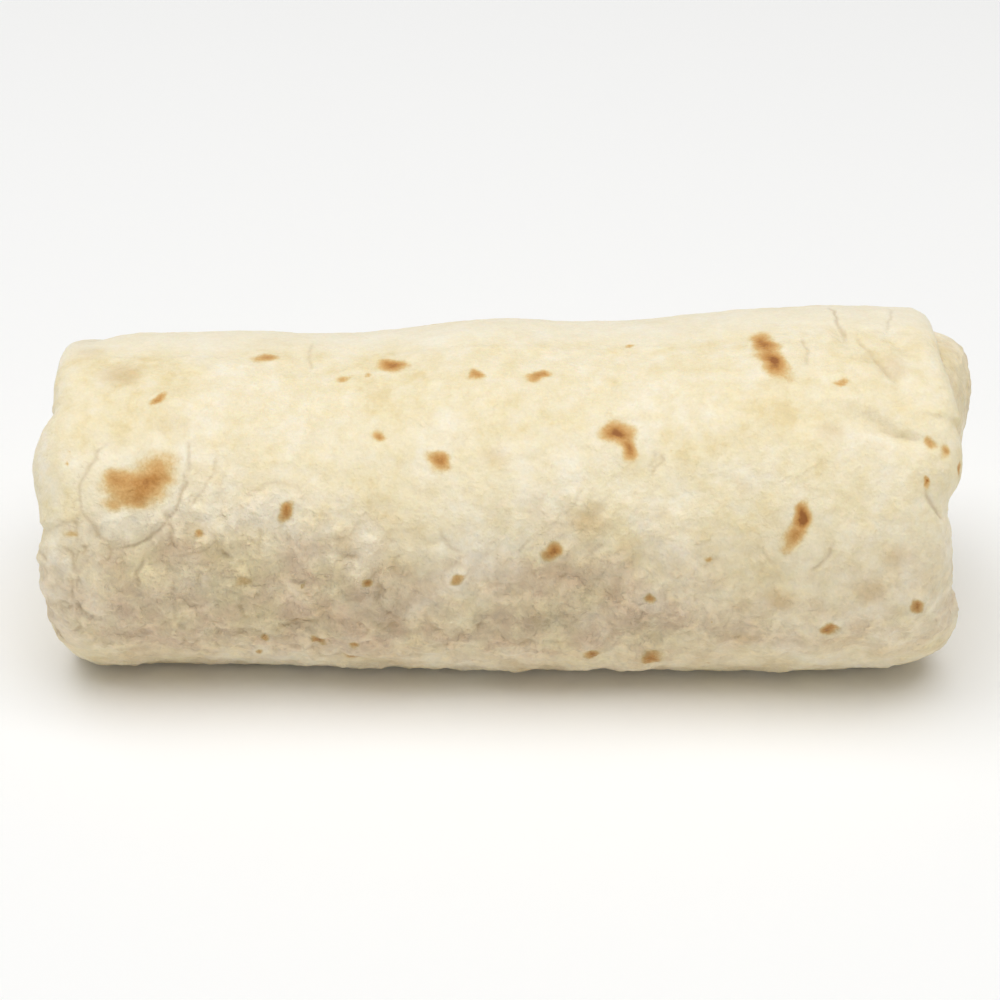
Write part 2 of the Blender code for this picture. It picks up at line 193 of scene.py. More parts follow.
# Other creases: (depth, width, (along X, angle), ...).
LINE_CREASES = (
    (0.24, 0.6, (-70, 36), (-73.7, 42), (-77.1, 53), (-76.2, 62), (-72.4, 70.5), (-69, 73)),
    (0.24, 0.5, (-77, 63), (-77.3, 68), (-77.2, 74)),
    (0.26, 0.5, (-57.4, 37), (-56.6, 43), (-57.2, 51)),
    (0.36, 0.6, (-56.9, 46), (-57.9, 54), (-59.4, 61.5), (-61, 65)),
    (0.34, 0.6, (-59.4, 62), (-62.4, 69), (-66.5, 73), (-71, 75)),
    (0.2, 0.6, (-52.2, 40), (-52.9, 49), (-54.7, 57), (-57.6, 62.5)),
    (0.3, 0.6, (61.4, -24), (61.8, -8), (63.4, 5)),
    (0.2, 0.6, (64.4, 0), (68, 11), (71.4, 25)),
    (0.18, 0.6, (72.8, -24), (72, -10), (71.2, 1)),
    (0.35, 0.8, (74.2, 58), (76.2, 64), (78.4, 69)),
    (0.16, 0.8, (66, 38), (70, 41.5), (75, 43)),
    (0.2, 0.5, (27.9, 45), (25, 52)),
    (0.14, 0.5, (13.6, 54), (12.4, 60), (10.6, 66)),
    (0.25, 0.6, (-64.8, 77), (-66.6, 83), (-66.4, 89)),
    (0.18, 0.5, (-55.4, 82), (-56.3, 89)),
    (0.16, 0.5, (-36.4, -12), (-36.8, 0), (-36.4, 8)),
    (0.2, 0.5, (-33, 122), (-27, 118.5), (-20, 118), (-13, 121)),
    (0.16, 0.45, (-27.5, 99), (-24.8, 104.5)),
    (0.16, 0.45, (-24.6, 98), (-22, 103)),
    (0.14, 0.45, (44.2, 78), (46.3, 84)),
)
# Dents where the filling leaves a hollow, painted shaded: (along X, angle, half length, half width, tilt,
# depth).
DENTS = (
    (66, 37, 8.5, 1.8, -24, 1.3), (58, 36, 5, 3, 0, 0.35), (70, 42, 6, 1.2, -12, 0.5),
    (68.5, 14, 8, 1.6, -62, 0.7), (74, 8, 7, 1.6, -70, 0.5), (62.4, 2, 4, 1, -75, 0.5),
    (-55, -4, 9, 5, 10, 0.4), (-79.5, -28, 4.6, 10, 0, 1.6),
    (31, 58, 8, 4, -20, 0.4), (-2, 100, 12, 4, 5, 0.5), (-50, 96, 9, 4, -10, 0.4),
    (70, 78, 6, 5, 30, 0.4), (14, 20, 9, 5, 15, 0.3),
)
# Where the damp sheet shows the dark filling: (along X, angle, half length, half width, strength).
DAMP = (
    (-22, 94, 6, 4.6, 0.9), (-28.8, 90, 4, 3.5, 0.5), (8.2, 101, 7, 3.8, 1),
    (-5.7, 98, 4.5, 3.5, 0.7), (15.5, 87.5, 5, 3, 0.5), (-15.8, 81, 4.5, 3.5, 0.6),
    (24, 104, 8, 3.5, 0.6), (-34, 102, 7, 4, 0.5), (40, 104, 7, 4, 0.35),
    (-44, 104, 7, 5, 0.5), (-52, 90, 6, 5, 0.4), (-2, 106, 9, 3, 0.5),
)
# Patches that the griddle only tinted, in the same way.
TINTED = (
    (-70.5, 10, 4.2, 3.8, 0.75), (-2, 46, 3.4, 2.4, 0.5), (14.9, 67, 3.6, 2.4, 0.8),
    (-30, 72, 3.6, 2.4, 0.45), (-77, -4, 3, 3, 0.5), (71.5, 16, 3.2, 3.4, 0.6),
    (58, 40, 3, 2, 0.5), (69.8, 80, 3, 2.6, 0.85), (64.5, 90, 2.8, 2.2, 0.85),
    (42.7, 109, 2.6, 2.2, 0.7), (49, 92.5, 2.6, 2.2, 0.6), (42.3, 57, 2.6, 2, 0.35),
    (27.2, 64, 2.4, 2.2, 0.4), (-60, 32, 5, 3, 0.3), (16, 62, 2.2, 1.6, 0.6),
    (-52.6, 76, 3.4, 2.6, 0.4),
)

# Chance marks on the parts of the skin that face away from the front.
MARKS_SEED = 7
CHANCE_ALONG, CHANCE_ANGLES = (-76, 76), (150, 322)
CHANCE_LARGE = ((-30, 292, 5.2, 3.4, 30, 1), (36, 262, 4.4, 3.2, -40, 0.95), (2, 232, 3, 2.2, 10, 0.9))
LARGE_BLISTER = (1.9, 2.3, 0.5, 0.6)  # times its patch's half length and width, height, paleness
LARGE_FOLD = (1.9, 2.4, 130, 0.25, 0.5)  # the same, degrees of arc, depth, width
CHANCE_SPOTS = 30
SPOT_LOG_SIZE, SPOT_SIZES = (0.05, 0.5), (0.35, 2.6)  # half widths: mean and spread of the log, ends
SPOT_LENGTHS, SPOT_HEATS = (1, 1.6), (0.5, 1)
BLISTERED_SPOT = 1.1  # half width from which a spot sits on a blister
SPOT_BLISTER = (2.6, 2.4, 0.3, 0.45)
CHANCE_FOLDS = 70  # short folds of the loose sheet low on the front
FOLDS_ALONG, FOLDS_ROUND, FOLDS_TO_LEFT = (-82, 46), (68, 120), 1.7
FOLD_SIZES, FOLD_SHAPES, FOLD_ARCS = (1.8, 4.6), (0.7, 1.4), (50, 130)
FOLD_DEPTHS, FOLD_WIDTHS = (0.1, 0.34), (0.6, 1)
FOLD_GAIN, FOLD_LOSS = 1.2, 0.6  # depth at the left, and what is lost to the right

# Where the sheet starts to hang loose and painted shade darkens it, low on the front: (along X, angle
# round).
LOOSE_AND_SHADED_FROM = ((-90, 54), (-66, 44), (-54, 38), (-32, 44), (-10, 58), (12, 47), (35, 60), (60, 62), (90, 60))
LOOSE_AND_SHADED_SPREAD = 50  # degrees from there to where it is loosest and its painted shade darkest
LOOSE_AND_SHADED_UNTIL, LOOSE_AND_SHADED_LEAST = (150, 175), 0.2  # where it is tight and unshaded again, and how loose and shaded elsewhere
# Where it hangs less loose and is less shaded, as (share, from, to): to the right, to the underside
# (painted light from the table there), to the left.
LESS_LOOSE_AND_SHADED = ((0.3, 15, 60), (0.45, 106, 128), (0.3, 68, 82))
OVER_RIM = 92  # millimetres along the skin at which it has turned over a rim
RAGGED_WAVES = (7.1, 4.3, 3.1)  # lengths of the waves that stir the marks' outlines
RAGGED_TOAST, RAGGED_FOLDS = 0.045, 0.028  # how far they do, as shares of those lengths
TOAST_BLEND, TOAST_LEAST = 0.3, 1e-4  # how much patches that overlap add to each other
TOAST_SINK = 0.12  # how far a toasted patch shrinks
BLISTER_FLATNESS, PALE_FLATNESS, TINT_FLATNESS = 2.2, 1.8, 1.3
DENT_SHADE = 0.28  # how much painted shade, in the damp tone, a millimetre of dent gets
ARC_STEP, ARC_LEAST = 12, 4  # degrees between an arc's points, and the fewest of them
FOLD_TAPER = 0.22  # share of a fold over which it fades at each end
FOLD_LEAST_WIDTH = 0.6  # narrowest fold that the mesh can show
FOLD_RIDGE, RIDGE_AWAY = 0.3, 1.8  # height of the ridges beside it, and widths away
FOLD_REACH, FOLD_FADE = 1.6, (0.35, 0.7)  # how far it marks the skin, and the shares that fade
CROWN_SHEEN, SHEEN_FROM, SHEEN_TO = 0.75, (-60, -30), (-12, 6)  # painted sheen: paler behind the crown, along the top

TUCK_FOLDS, TUCK_SWINGS = (5, 8, 13, 21), (2, 4)  # folds round a tucked-in sheet, a single one's swing
TUCK_SWIRL, TUCK_WRINKLE = 0.05, 0.7  # radians that they turn in a millimetre outwards, their depth
TUCK_WRINKLES_FROM, TUCK_WRINKLES_TO = (1, 9), (27, 34)  # radii over which they start and end
TUCK_SPOTS, TUCK_SPOT_SIZES, TUCK_SPOTS_OUT, TUCK_HEATS = 5, (0.7, 2.2), (7, 22), (0.6, 1)
TUCK_SPOT_REACH, TUCK_BLISTER_REACH = 1.3, 6  # squared, in half widths
TUCK_SPOT_FLATNESS = 1.4
TUCK_BLISTER, TUCK_PALE = 0.3, 0.5  # the height and the paleness of a spot's blister
# Painted shade over the tucked-in sheets, in the damp tone, and how loose they are, which puckers them and
# darkens them further with painted shade.
TUCK_PAINTED_SHADE, TUCK_LOOSE_AND_SHADED = 0.1, 0.42


def through(stations, at, period=None):
    """A smooth curve through (place, value) stations, read at each place; with a period it repeats."""
    places, values = np.array(stations, float).T
    if period:
        at = np.mod(at - places[0], period) + places[0]
        places = np.concatenate([places[-1:] - period, places, places[:2] + period])
        values = np.concatenate([values[-1:], values, values[:2]])
    slopes = np.gradient(values, places)
    before = np.clip(np.searchsorted(places, at, side="right") - 1, 0, len(places) - 2)
    gap = places[before + 1] - places[before]
    t = np.clip((at - places[before]) / gap, 0, 1)
    start, end = values[before], values[before + 1]
    lean = gap * t * (1 - t)
    return (
        start + (end - start) * t * t * (3 - 2 * t)
        + slopes[before] * lean * (1 - t)
        - slopes[before + 1] * lean * t
    )


def smooth_step(low, high, at):
    t = np.clip((at - low) / (high - low), 0, 1)
    return t * t * (3 - 2 * t)


def angle_gap(a, b):
    """The signed difference of two angles in degrees, from -180 to 180."""
    return np.mod(a - b + 180, 360) - 180


# ---- The roll's own form ----


def section(x):
    """Half width, half height and centre height of the unpressed roll at x."""
    share = through(PLUMPNESS, x)
    half_height = (ROLL_HEIGHT + PRESSED_FLAT) / 2 * share
    return ROLL_WIDTH / 2 * share, half_height, half_height - PRESSED_FLAT


def lumps(x, angle):
    """How far the filling lifts the sheet at x and this angle."""
    lift = np.zeros_like(x + angle)
    for along, around, reach, spread, height in FILLING_LUMPS:
        away = ((x - along) / reach) ** 2 + (angle_gap(angle, around) / spread) ** 2
        lift += height * np.exp(-away)
    return lift


def pressed(z):
    """Heights with everything below the surface squashed flat on to it."""
    blend = (z + PRESSED_BLEND) ** 2 / (4 * PRESSED_BLEND)
    return np.where(z > PRESSED_BLEND, z, np.where(z < -PRESSED_BLEND, 0.0, blend))


def flap_angle(x):
    """The angle at which the flap's free edge lies at x."""
    share = np.clip(np.abs(x) / FLAP_HALF_CHORD, 0, 1)
    return FLAP_TIP_ANGLE + (FLAP_END_ANGLE - FLAP_TIP_ANGLE) * share**2


def on_section(x, angle, lift, inset=1.0, around=(0.0, 0.0)):
    """Y and Z of a point lifted off the section at x, then drawn in towards a point by inset."""
    half_width, half_height, centre = section(x)
    radians = np.radians(angle)
    sine, cosine = np.sin(radians), np.cos(radians)
    power = 2 / SQUARENESS
    y = -(half_width + lift) * np.sign(sine) * np.abs(sine) ** power
    z = (half_height + lift) * np.sign(cosine) * np.abs(cosine) ** power
    y = around[0] + (y - around[0]) * inset
    z = around[1] + (z - around[1]) * inset
    return y, pressed(centre + z)


def rim_sizes(side, angle):
    """At each angle: the rim's reach, its corner's length and depth, its lip's radius and groove."""
    return [
        through([(row[0], row[column]) for row in table[side]], angle, 360)
        for table, column in ((RIM_REACH, 1), (CORNER, 1), (CORNER, 2), (LIP, 1), (LIP, 2))
    ]


def tuck_level(side, y, height):
    """How far the tucked-in sheet stands out from the rim's mean reach."""
    level = TUCK_REST[side]
    for at_y, at_height, reach, out in TUCK_BULGES[side]:
        away = ((y - at_y) ** 2 + (height - at_height) ** 2) / reach**2
        level += out * np.exp(-(away**BULGE_FLATNESS))
    return level


# ---- Columns round the roll ----


class Columns:
    """The columns of the skin's grid. Each has a place round the roll, from the flap's free edge at
    FLAP_END_ANGLE to the sheet beneath it a turn later, and a share of the sheet's thickness."""

    def __init__(self, with_flap):
        start, end = FLAP_END_ANGLE, FLAP_END_ANGLE + 360
        ticks = np.arange(start, end + PITCH_STEP, PITCH_STEP)
        front_start, front_end = FRONT_ANGLES
        front = smooth_step(front_start - FRONT_BLEND, front_start, ticks)
        front = front * (1 - smooth_step(front_end, front_end + FRONT_BLEND, ticks))
        pace = np.cumsum(front / FRONT_PITCH + (1 - front) / BACK_PITCH) * PITCH_STEP
        places = np.interp(np.arange(0, pace[-1]), pace, ticks)
        if with_flap:
            places = places[places > start + FLAP_PROFILE[-1][0] / MM_A_DEGREE + EDGE_CLEAR]
            edge = [start + way / MM_A_DEGREE for way, _ in FLAP_PROFILE]
            under = [end + way / MM_A_DEGREE for way in UNDER_FLAP]
            self.place = np.concatenate([edge, places, [end], under])
            whole = 1 - (self.place - start) / 360
            whole[: len(edge)] *= [share for _, share in FLAP_PROFILE]
            self.layer = np.clip(whole, 0, 1)
            self.step = np.exp(-(end - self.place).clip(0) * MM_A_DEGREE / FLAP_STEP_REACH)
            self.step[: len(edge)] = [1 - share for _, share in FLAP_PROFILE]
        else:
            self.place = places
            self.layer = 1 - (places - start) / 360
            self.step = np.zeros_like(places)
        self.home = np.where(self.place > end, self.place - 360, self.place)
        self.pleats = {side: np.array([(start, 0), *PLEATS[side], (end, 0)]).T for side in SIDES}
        self.middle = (self.pleats[LEFT][0] + self.pleats[RIGHT][0]) / 2

    def angle(self, side):
        """The columns' angles at one rim, where the pleats set them."""
        return np.interp(self.home, self.middle, self.pleats[side][0]) + self.place - self.home

    def rise(self, side):
        """How far the pleated sheet stands above the one under it: it climbs, then drops."""
        drops, middle = self.pleats[side][1], self.middle
        index = np.clip(np.searchsorted(middle, self.home, side="right") - 1, 0, len(middle) - 2)
        share = (self.home - middle[index]) / (middle[index + 1] - middle[index])
        climb = drops[index + 1] * np.clip(share, 0, 1) ** PLEAT_RISE
        falling = drops[index] * np.clip(1 - (self.home - middle[index]) / PLEAT_GAP, 0, 1)
        return np.maximum(climb, falling)

    def near_flap(self):
        """How closely each column follows the flap's edge: 1 on it and 0 across from it."""
        return np.abs(2 * (self.home - FLAP_END_ANGLE) / 360 - 1) ** FLAP_PULL


# ---- Rows of points ----


def stepped(x, angle, lift, columns, inset=1.0, around=(0.0, 0.0)):
    """A row's Y and Z, drawn in beside the flap's edge, or lifted there off the table."""
    y, z = on_section(x, angle, lift - FLAP_STEP * columns.step, inset, around)
    return y, z + FLAP_STEP * columns.step * (1 - smooth_step(0, 2 * PRESSED_BLEND, z))


def rim_row(side, columns, tau, lipped):
    """One row over the rim: tau runs from 0 on the body to 90 at the rim's furthest reach, and then
    from 0 on along the lip."""
    angle, rise = columns.angle(side), columns.rise(side)
    layer = SHEET * columns.layer
    reach, length, depth, lip, _ = rim_sizes(side, angle)
    out, away = math.sin(math.radians(tau)), math.cos(math.radians(tau))
    if lipped:
        x = side * (reach - lip * (1 - away) + layer * (1 - FLAP_FADE) * max(away, LIP_LAYER) + rise)
        inset = 1 - (depth + lip * out) / MEAN_RADIUS
        return x, *on_section(x, angle, 0.0, inset, PUCKER[side]), angle
    standing = layer * (1 - FLAP_FADE * out) + rise * (PLEAT_ON_BODY + (1 - PLEAT_ON_BODY) * out)
    x = side * (reach - length * (1 - out) + standing * out)
    inset = 1 - depth * (1 - away) / MEAN_RADIUS
    lift = (lumps(x, angle) + standing) * away
    return x, *stepped(x, angle, lift, columns, inset, PUCKER[side]), angle


def body_row(columns, share, first, last):
    """One row between the rims' first rows."""
    at_left, at_right = columns.angle(LEFT), columns.angle(RIGHT)
    x = first + (last - first) * share
    angle = at_left + (at_right - at_left) * smooth_step(0, 1, share)
    angle = angle + (flap_angle(x) - FLAP_END_ANGLE) * columns.near_flap()
    rise = 0.0
    for side, rim in ((LEFT, first), (RIGHT, last)):
        fade = 1 - smooth_step(0, PLEAT_REACH, np.abs(x - rim))
        rise += PLEAT_ON_BODY * columns.rise(side) * fade
    lift = lumps(x, angle) + SHEET * columns.layer + rise
    return x, *stepped(x, angle, lift, columns), angle


def wrap_rows(columns):
    """All rows of the wrap, from inside the left lip to inside the right one."""
    ends = {}
    for side in SIDES:
        rim = [rim_row(side, columns, tau, False) for tau in np.linspace(0, 90, RIM_ROWS + 1)]
        rim += [rim_row(side, columns, tau, True) for tau in np.linspace(0, LIP_CURL, LIP_ROWS + 1)[1:]]
        x, y, z, angle = rim[-1]
        ends[side] = rim + [(x - side * HIDDEN_DEPTH, y, z, angle)]
    first, last = ends[LEFT][0][0], ends[RIGHT][0][0]
    shares = np.linspace(0, 1, BODY_ROWS + 2)[1:-1]
    body = [body_row(columns, share, first, last) for share in shares]
    return ends[LEFT][::-1] + body + ends[RIGHT]


def tuck_rows(side, columns):
    """Rows of the tucked-in sheet, from under the lip to the pucker."""
    angle, rise = columns.angle(side), columns.rise(side)
    reach, _, depth, lip, groove = rim_sizes(side, angle)
    foot = reach - lip * (1 - math.cos(math.radians(LIP_FOOT))) - groove
    mean_reach = float(np.mean(rim_sizes(side, np.arange(360.0))[0]))
    under_lip = 1 - (depth + lip * LIP_LAP) / MEAN_RADIUS
    inset = 1 - (depth + lip * math.sin(math.radians(LIP_FOOT))) / MEAN_RADIUS
    edge = inset - (GROOVE_LEAST + GROOVE_SHARE * groove) / MEAN_RADIUS
    middle = side * mean_reach
    inwards = 1 - np.linspace(0, TUCK_CENTRE, TUCK_ROWS + 1) ** TUCK_PACE
    rows = []
    for index, share in enumerate([under_lip / edge, under_lip / edge, inset / edge, *inwards]):
        inner = np.minimum(share, 1.0)
        turned = angle + PLEAT_TWIST * (1 - inner) ** PLEAT_CURL
        y, z = on_section(middle, turned, 0.0, edge * share, PUCKER[side])
        level = mean_reach + tuck_level(side, y, z - section(middle)[2])
        near_rim = inner**FOOT_SHARPNESS
        x = level * (1 - near_rim) + foot * near_rim + rise * smooth_step(0, PLEAT_INNER, inner)
        x = x - (HIDDEN_DEPTH if index == 0 else 0)
        rows.append((side * x, y, z, turned))
    return rows


# ---- Marks on the skin ----


def arc_points(at_x, at_angle, half_length, half_width, start, end):
    """Points along part of an oval round (along X, angle)."""
    turns = np.radians(np.linspace(start, end, max(ARC_LEAST, int(abs(end - start) / ARC_STEP))))
    return [
        (at_x + half_length * math.cos(t), at_angle - half_width * math.sin(t) / MM_A_DEGREE)
        for t in turns
    ]


def chance_marks():
    """Toasted patches and blisters for the back and the underside, and folds there and low down."""
    rng = np.random.default_rng(MARKS_SEED)
    toast, blisters, arcs = list(CHANCE_LARGE), [], []
    longer, wider, *dome = LARGE_BLISTER
    fold_longer, fold_wider, turn, *fold = LARGE_FOLD
    for *place, half_length, half_width, _, _ in CHANCE_LARGE:
        blisters.append((*place, half_length * longer, half_width * wider, *dome))
        start = rng.uniform(0, 360)
        size = (half_length * fold_longer, half_width * fold_wider)
        arcs.append((*place, *size, start, start + turn, *fold))
    longer, wider, *dome = SPOT_BLISTER
    for _ in range(CHANCE_SPOTS):
        size = float(np.clip(rng.lognormal(*SPOT_LOG_SIZE), *SPOT_SIZES))
        place = (rng.uniform(*CHANCE_ALONG), rng.uniform(*CHANCE_ANGLES))
        length = size * rng.uniform(*SPOT_LENGTHS)
        toast.append((*place, length, size, rng.uniform(-90, 90), rng.uniform(*SPOT_HEATS)))
        if size > BLISTERED_SPOT:
            blisters.append((*place, size * longer, size * wider, *dome))
    left, right = FOLDS_ALONG
    for _ in range(CHANCE_FOLDS):
        from_left = rng.uniform(0, 1) ** FOLDS_TO_LEFT
        place = (left + (right - left) * from_left, rng.uniform(*FOLDS_ROUND))
        size, start = rng.uniform(*FOLD_SIZES), rng.uniform(0, 360)
        oval = (*place, size, size * rng.uniform(*FOLD_SHAPES), start, start + rng.uniform(*FOLD_ARCS))
        depth = rng.uniform(*FOLD_DEPTHS) * (FOLD_GAIN - FOLD_LOSS * from_left)
        arcs.append((*oval, depth, rng.uniform(*FOLD_WIDTHS)))
    return tuple(toast), tuple(blisters), tuple(arcs)


class Skin:
    """The marks of the wrap, read at the points of its grid: x, place along it and angle round it."""

    def __init__(self, x, along, angle, smooth=None):
        self.x, self.along, self.angle, self.smooth = x, along, angle, smooth or self

    def settle(self, at_x, at_angle):
        """The place along the skin of the point that stands at this X and angle."""
        middle = len(self.x) // 2
        column = np.abs(angle_gap(self.smooth.angle[middle], at_angle)).argmin()
        along = self.smooth.along[:, column]
        row = np.where(np.abs(along) < OVER_RIM, np.abs(self.x[:, column] - at_x), FAR).argmin()
        return along[row]

    def mound(self, mark, flatness=1.0):
        """A mark's strength at each point: it falls off from the middle of an oval, (along X, angle,
        half length, half width, tilt if any, strength)."""
        at_x, at_angle, half_length, half_width, *tilt, strength = mark
        turn = math.radians(sum(tilt))
        dx = self.along - self.settle(at_x, at_angle)
        up = -angle_gap(self.angle, at_angle) * MM_A_DEGREE
        u = dx * math.cos(turn) + up * math.sin(turn)
        v = up * math.cos(turn) - dx * math.sin(turn)
        return strength * np.exp(-(((u / half_length) ** 2 + (v / half_width) ** 2) ** flatness))

    def strongest(self, marks, flatness=1.0, blend=0.0):
        """The strongest of some marks at each point, with a share of the weaker ones added."""
        strongest = np.zeros(self.along.shape)
        for mark in marks:
            mound = self.mound(mark, flatness)
            strongest = np.maximum(strongest, mound) + blend * np.minimum(strongest, mound)
        return strongest

    def from_line(self, points):
        """Distance in millimetres from a line through (along X, angle) points, below 0 on one side
        of it, and how full the line is beside each point: it tapers to both of its ends."""
        nearest = np.full(self.along.shape, FAR)
        full = np.zeros(self.along.shape)
        points = [(self.settle(*point), point[1]) for point in points]
        last = len(points) - 1
        for index, ((x0, a0), (x1, a1)) in enumerate(zip(points, points[1:])):
            px, pa = self.along - x0, angle_gap(self.angle, a0) * MM_A_DEGREE
            dx, da = x1 - x0, (a1 - a0) * MM_A_DEGREE
            t = np.clip((px * dx + pa * da) / (dx * dx + da * da), 0, 1)
            away = np.hypot(px - t * dx, pa - t * da)
            closer = away < np.abs(nearest)
            nearest = np.where(closer, np.copysign(away, px * da - pa * dx), nearest)
            way = (index + t) / last
            tapered = smooth_step(0, FOLD_TAPER, way) * smooth_step(0, FOLD_TAPER, 1 - way)
            full = np.where(closer, tapered, full)
        return nearest, full

    def ragged(self, share):
        """This skin with its places stirred by a share of each wave, so that marks on it waver."""
        rng = np.random.default_rng(MARKS_SEED)
        along, around = self.along.copy(), self.angle * MM_A_DEGREE
        stir = [np.zeros(along.shape), np.zeros(along.shape)]
        for wavelength in RAGGED_WAVES:
            for shift in stir:
                heading, start = rng.uniform(0, 2 * math.pi, 2)
                across = along * math.cos(heading) + around * math.sin(heading)
                shift += share * wavelength * np.sin(2 * math.pi * across / wavelength + start)
        return Skin(self.x, along + stir[0], self.angle + stir[1] / MM_A_DEGREE, self)

    def marks(self):
        """The relief and the strength of each kind of mark."""
        toast_marks, blisters, arcs = chance_marks()
        blisters = BLISTERS + blisters
        relief = np.zeros(self.along.shape)
        fold, fold_depth = relief + FOLD_REACH, relief.copy()
        for mark in blisters:
            relief += self.mound(mark[:5], BLISTER_FLATNESS)
        lines = [(*arc[6:], arc_points(*arc[:6])) for arc in ARC_CREASES + arcs]
        lines += [(depth, width, points) for depth, width, *points in LINE_CREASES]
        wavering = self.ragged(RAGGED_FOLDS)
        for depth, width, points in lines:
            away, full = wavering.from_line(points)
            width = max(width, FOLD_LEAST_WIDTH)
            relief -= depth * full * np.exp(-((away / width) ** 2))
            beside = (np.abs(away) - RIDGE_AWAY * width) / width
            relief += FOLD_RIDGE * depth * full * np.exp(-(beside**2))
            closer = np.abs(away) < np.abs(fold)
            fold = np.where(closer, away, fold)
            fading = 1 - smooth_step(*FOLD_FADE, np.abs(away) / FOLD_REACH)
            fold_depth = np.where(closer, depth * full * fading, fold_depth)
        shade = np.zeros(self.along.shape)
        for mark in DENTS:
            hollow = self.mound(mark)
            relief, shade = relief - hollow, shade + DENT_SHADE * hollow
        toast = self.ragged(RAGGED_TOAST).strongest(TOAST + toast_marks, blend=TOAST_BLEND)
        toast = np.clip(toast, TOAST_LEAST, 1)
        pale = self.strongest([(*mark[:4], mark[5]) for mark in blisters], PALE_FLATNESS)
        crown = angle_gap(self.angle, 0)
        crown_sheen = CROWN_SHEEN * smooth_step(*SHEEN_FROM, crown) * (1 - smooth_step(*SHEEN_TO, crown))
        rows = np.arange(len(self.x))[:, None]
        from_end = np.minimum(rows, len(self.x) - 1 - rows)
        return {
            "relief": (relief - TOAST_SINK * toast) * MM,
            "held": np.broadcast_to(1 - smooth_step(*HELD_LIP, from_end), self.x.shape),
            "unbrowned": np.sqrt(-np.log(toast)),
            # Paler blisters, and the painted sheen behind the crown.
            "pale": np.maximum(pale, crown_sheen),
            "fold": fold,
            "fold_depth": fold_depth,
            # The damp sheet's see-through patches, and the dents' painted shade in the same tone.
            "damp_and_shaded": np.maximum(self.strongest(DAMP), shade),
            "tint": self.strongest(TINTED, TINT_FLATNESS),
            "loose_and_shaded": self.looseness_and_shade(),
        }

    def looseness_and_shade(self):
        """How loosely the sheet hangs at each point, which also sets where painted shade darkens the lower
        front.
        """
        turned = np.mod(self.angle, 360)
        low = smooth_step(0, LOOSE_AND_SHADED_SPREAD, turned - through(LOOSE_AND_SHADED_FROM, self.x))
        low = low * (1 - smooth_step(*LOOSE_AND_SHADED_UNTIL, turned))
        right, under, left = (
            1 - share * smooth_step(start, end, at)
            for (share, start, end), at in zip(LESS_LOOSE_AND_SHADED, (self.x, turned, -self.x))
        )
        return (low * right + LOOSE_AND_SHADED_LEAST * (1 - low)) * under * left


def tuck_marks(side, x, y, z, turned):
    """The relief and the strength of each kind of mark on a tucked-in sheet."""
    rng = np.random.default_rng(MARKS_SEED + side)
    at_y, at_height = PUCKER[side]
    radius = np.hypot(y - at_y, z - at_height - section(x)[2])
    relief = np.zeros(x.shape)
    for folds in TUCK_FOLDS:
        swing = rng.uniform(*TUCK_SWINGS) / folds
        start = rng.uniform(0, TURN)
        relief += swing * np.sin(np.radians(turned) * folds + start + radius * TUCK_SWIRL)
    relief = relief * smooth_step(*TUCK_WRINKLES_FROM, radius) * TUCK_WRINKLE
    relief = relief * (1 - smooth_step(*TUCK_WRINKLES_TO, radius))
    toast, pale = np.zeros(x.shape), np.zeros(x.shape)
    for _ in range(TUCK_SPOTS):
        size, spin, out = rng.uniform(*TUCK_SPOT_SIZES), rng.uniform(0, TURN), rng.uniform(*TUCK_SPOTS_OUT)
        across = y - at_y - out * math.cos(spin)
        above = z - at_height - out * math.sin(spin) - ROLL_HEIGHT / 2
        away = (across**2 + above**2) / size**2
        spot, blister = away / TUCK_SPOT_REACH, away / TUCK_BLISTER_REACH
        toast = np.maximum(toast, rng.uniform(*TUCK_HEATS) * np.exp(-(spot**TUCK_SPOT_FLATNESS)))
        relief += TUCK_BLISTER * np.exp(-(blister**2))
        pale = np.maximum(pale, TUCK_PALE * np.exp(-(blister**PALE_FLATNESS)))
    level = np.ones(x.shape)
    return {
        "held": smooth_step(*HELD_TUCK, radius / radius[TUCK_EDGE_ROW]),
        "relief": relief * MM,
        "unbrowned": np.sqrt(-np.log(np.clip(toast, TOAST_LEAST, 1))),
        "pale": pale,
        "fold": level * FOLD_REACH,
        "fold_depth": level * 0,
        "damp_and_shaded": level * TUCK_PAINTED_SHADE,
        "tint": level * 0,
        "loose_and_shaded": level * TUCK_LOOSE_AND_SHADED,
    }


# ---- Meshes ----


def grid_mesh(name, points, marks, ringed):
    """A closed mesh from rows of points: its ends are shut by fans, out of sight. A ringed grid's
    rows join their own starts, and any other grid's rows already end where they start."""
    rows, columns = points.shape[:2]
    index = np.arange(rows * columns).reshape(rows, columns)
    if ringed:
        index = np.concatenate([index, index[:, :1]], axis=1)
    quads = np.stack([index[:-1, :-1], index[:-1, 1:], index[1:, 1:], index[1:, :-1]], axis=-1)
    mesh = bmesh.new()
    for key in marks:
        mesh.verts.layers.float.new(key)
    layers = {key: mesh.verts.layers.float[key] for key in marks}
    vertices = [mesh.verts.new(point) for point in points.reshape(-1, 3)]
    for quad in quads.reshape(-1, 4):
        mesh.faces.new([vertices[corner] for corner in quad])
    for key, values in marks.items():
        for vertex, value in zip(vertices, values.reshape(-1)):
            vertex[layers[key]] = value
    bmesh.ops.remove_doubles(mesh, verts=mesh.verts, dist=MERGE_GAP)
    ends = [edge for edge in mesh.edges if edge.is_boundary]
    shut = bmesh.ops.holes_fill(mesh, edges=ends, sides=0)
    bmesh.ops.poke(mesh, faces=shut["faces"])
    bmesh.ops.recalc_face_normals(mesh, faces=mesh.faces)
    data = bpy.data.meshes.new(name)
    mesh.to_mesh(data)
    mesh.free()
    data.shade_smooth()
    return new_object(name, data)


